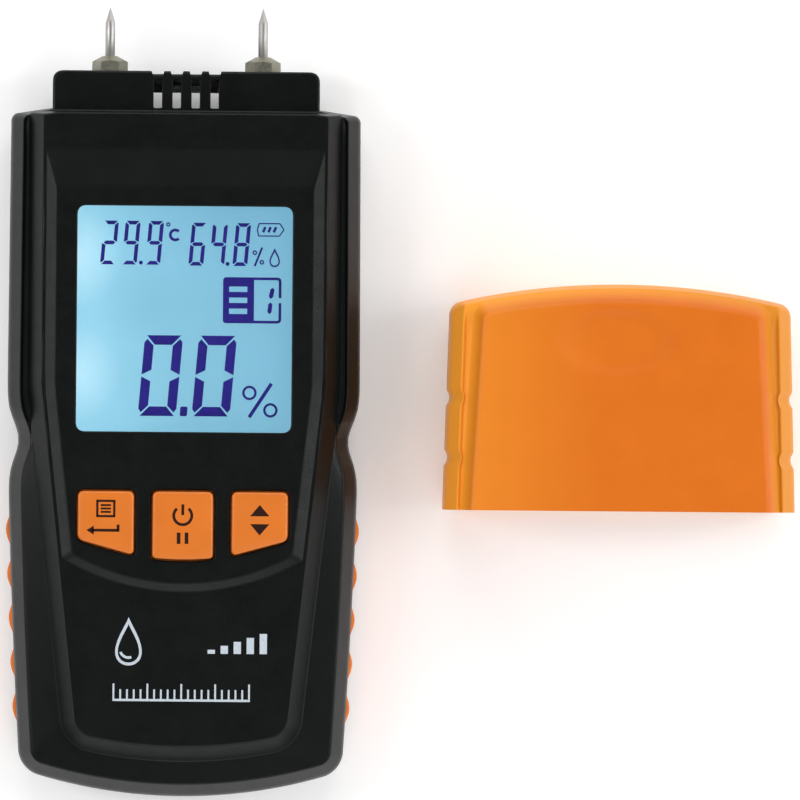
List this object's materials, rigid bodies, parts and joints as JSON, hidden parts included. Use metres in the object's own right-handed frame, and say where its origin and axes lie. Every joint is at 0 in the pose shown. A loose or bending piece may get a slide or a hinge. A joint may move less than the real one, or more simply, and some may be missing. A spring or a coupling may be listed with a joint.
{
  "type": "moisture meter",
  "caption": "Handheld two-pin moisture meter with a backlit display, three keys, rubber side grips, a battery bay in its back and a push-on pin cap lying beside it.",
  "frame": {"origin": "on the flat back face, under the middle of the housing", "axes": "+X right across the face, +Y along the meter to its pins, +Z out of the face"},
  "size_m": [0.1401, 0.1401, 0.0282],
  "materials": {
    "housing_black": "fine moulded grain",
    "grip_orange": "soft moulded",
    "cap_orange": "fine moulded grain",
    "key_orange": "smooth satin",
    "window_clear": "polished",
    "lcd_blue": "backlit",
    "frame_white": "smooth",
    "guide_milky": "frosted",
    "led_yellow": "smooth",
    "connector_pink": "smooth",
    "board_green": "solder mask",
    "chip_black": "moulded",
    "component_mixed": "assorted",
    "switch_black": "moulded",
    "plunger_ivory": "smooth",
    "sensor_board": "solder mask",
    "sensor_blue": "slotted",
    "wire_grey": "smooth",
    "wire_black": "smooth",
    "wire_red": "smooth",
    "pin_steel": "ground",
    "nut_nickel": "nickel plated",
    "socket_brass": "turned",
    "cell_wrap": "printed foil",
    "spring_steel": "nickel plated",
    "screw_steel": "zinc black"
  },
  "bodies": {
    "meter": {"front_housing": "housing_black", "rear_housing": "housing_black", "left_grip": "grip_orange", "right_grip": "grip_orange", "display_window": "window_clear", "lcd_frame": "frame_white", "lcd_panel": "lcd_blue", "backlight_guide": "guide_milky", "backlight_leds": "led_yellow", "lcd_connector": "connector_pink", "main_board": "board_green", "microcontroller": "chip_black", "board_components": "component_mixed", "switch_bodies": "switch_black", "sensor_board": "sensor_board", "humidity_sensor": "sensor_blue", "sensor_leads": "wire_grey", "left_pin_socket": "socket_brass", "right_pin_socket": "socket_brass", "left_probe_lead": "wire_black", "right_probe_lead": "wire_red", "battery_left": "cell_wrap", "battery_middle": "cell_wrap", "battery_right": "cell_wrap", "battery_springs": "spring_steel", "battery_contacts": "spring_steel", "battery_lead_positive": "wire_red", "battery_lead_negative": "wire_black", "case_screws": "screw_steel", "board_screws": "screw_steel"},
    "mode_key": {"mode_button": "key_orange", "mode_switch_plunger": "plunger_ivory"},
    "power_key": {"power_button": "key_orange", "power_switch_plunger": "plunger_ivory"},
    "set_key": {"set_button": "key_orange", "set_switch_plunger": "plunger_ivory"},
    "left_nut": {"left_pin_nut": "nut_nickel"},
    "right_nut": {"right_pin_nut": "nut_nickel"},
    "left_probe": {"left_pin": "pin_steel"},
    "right_probe": {"right_pin": "pin_steel"},
    "door": {"battery_door": "housing_black"},
    "cap": {"protective_cap": "cap_orange"}
  },
  "joints": [
    {"name": "mode_press", "type": "slide", "parent": "meter", "child": "mode_key", "axis": [0, 0, -1], "range_m": [0, 0.0004], "stiffness_N_per_m": 3000, "springref_m": -0.0002},
    {"name": "power_press", "type": "slide", "parent": "meter", "child": "power_key", "axis": [0, 0, -1], "range_m": [0, 0.0004], "stiffness_N_per_m": 3000, "springref_m": -0.0002},
    {"name": "set_press", "type": "slide", "parent": "meter", "child": "set_key", "axis": [0, 0, -1], "range_m": [0, 0.0004], "stiffness_N_per_m": 3000, "springref_m": -0.0002},
    {"name": "left_nut_turn", "type": "hinge", "parent": "meter", "child": "left_nut", "pos_m": [-0.0136, 0.069, 0.013], "axis": [0, 1, 0], "range_deg": [0, 1080]},
    {"name": "right_nut_turn", "type": "hinge", "parent": "meter", "child": "right_nut", "pos_m": [0.0136, 0.069, 0.013], "axis": [0, 1, 0], "range_deg": [0, 1080]},
    {"name": "left_pin_pull", "type": "slide", "parent": "meter", "child": "left_probe", "axis": [0, 1, 0], "range_m": [0, 0.022]},
    {"name": "right_pin_pull", "type": "slide", "parent": "meter", "child": "right_probe", "axis": [0, 1, 0], "range_m": [0, 0.022]},
    {"name": "door_swing", "type": "hinge", "parent": "meter", "child": "door", "pos_m": [0, -0.0538, 0.0012], "axis": [-1, 0, 0], "range_deg": [0, 100]},
    {"name": "cap_lift", "type": "slide", "parent": "meter", "child": "cap", "axis": [0, 0, 1], "range_m": [0, 0.06]}
  ]
}
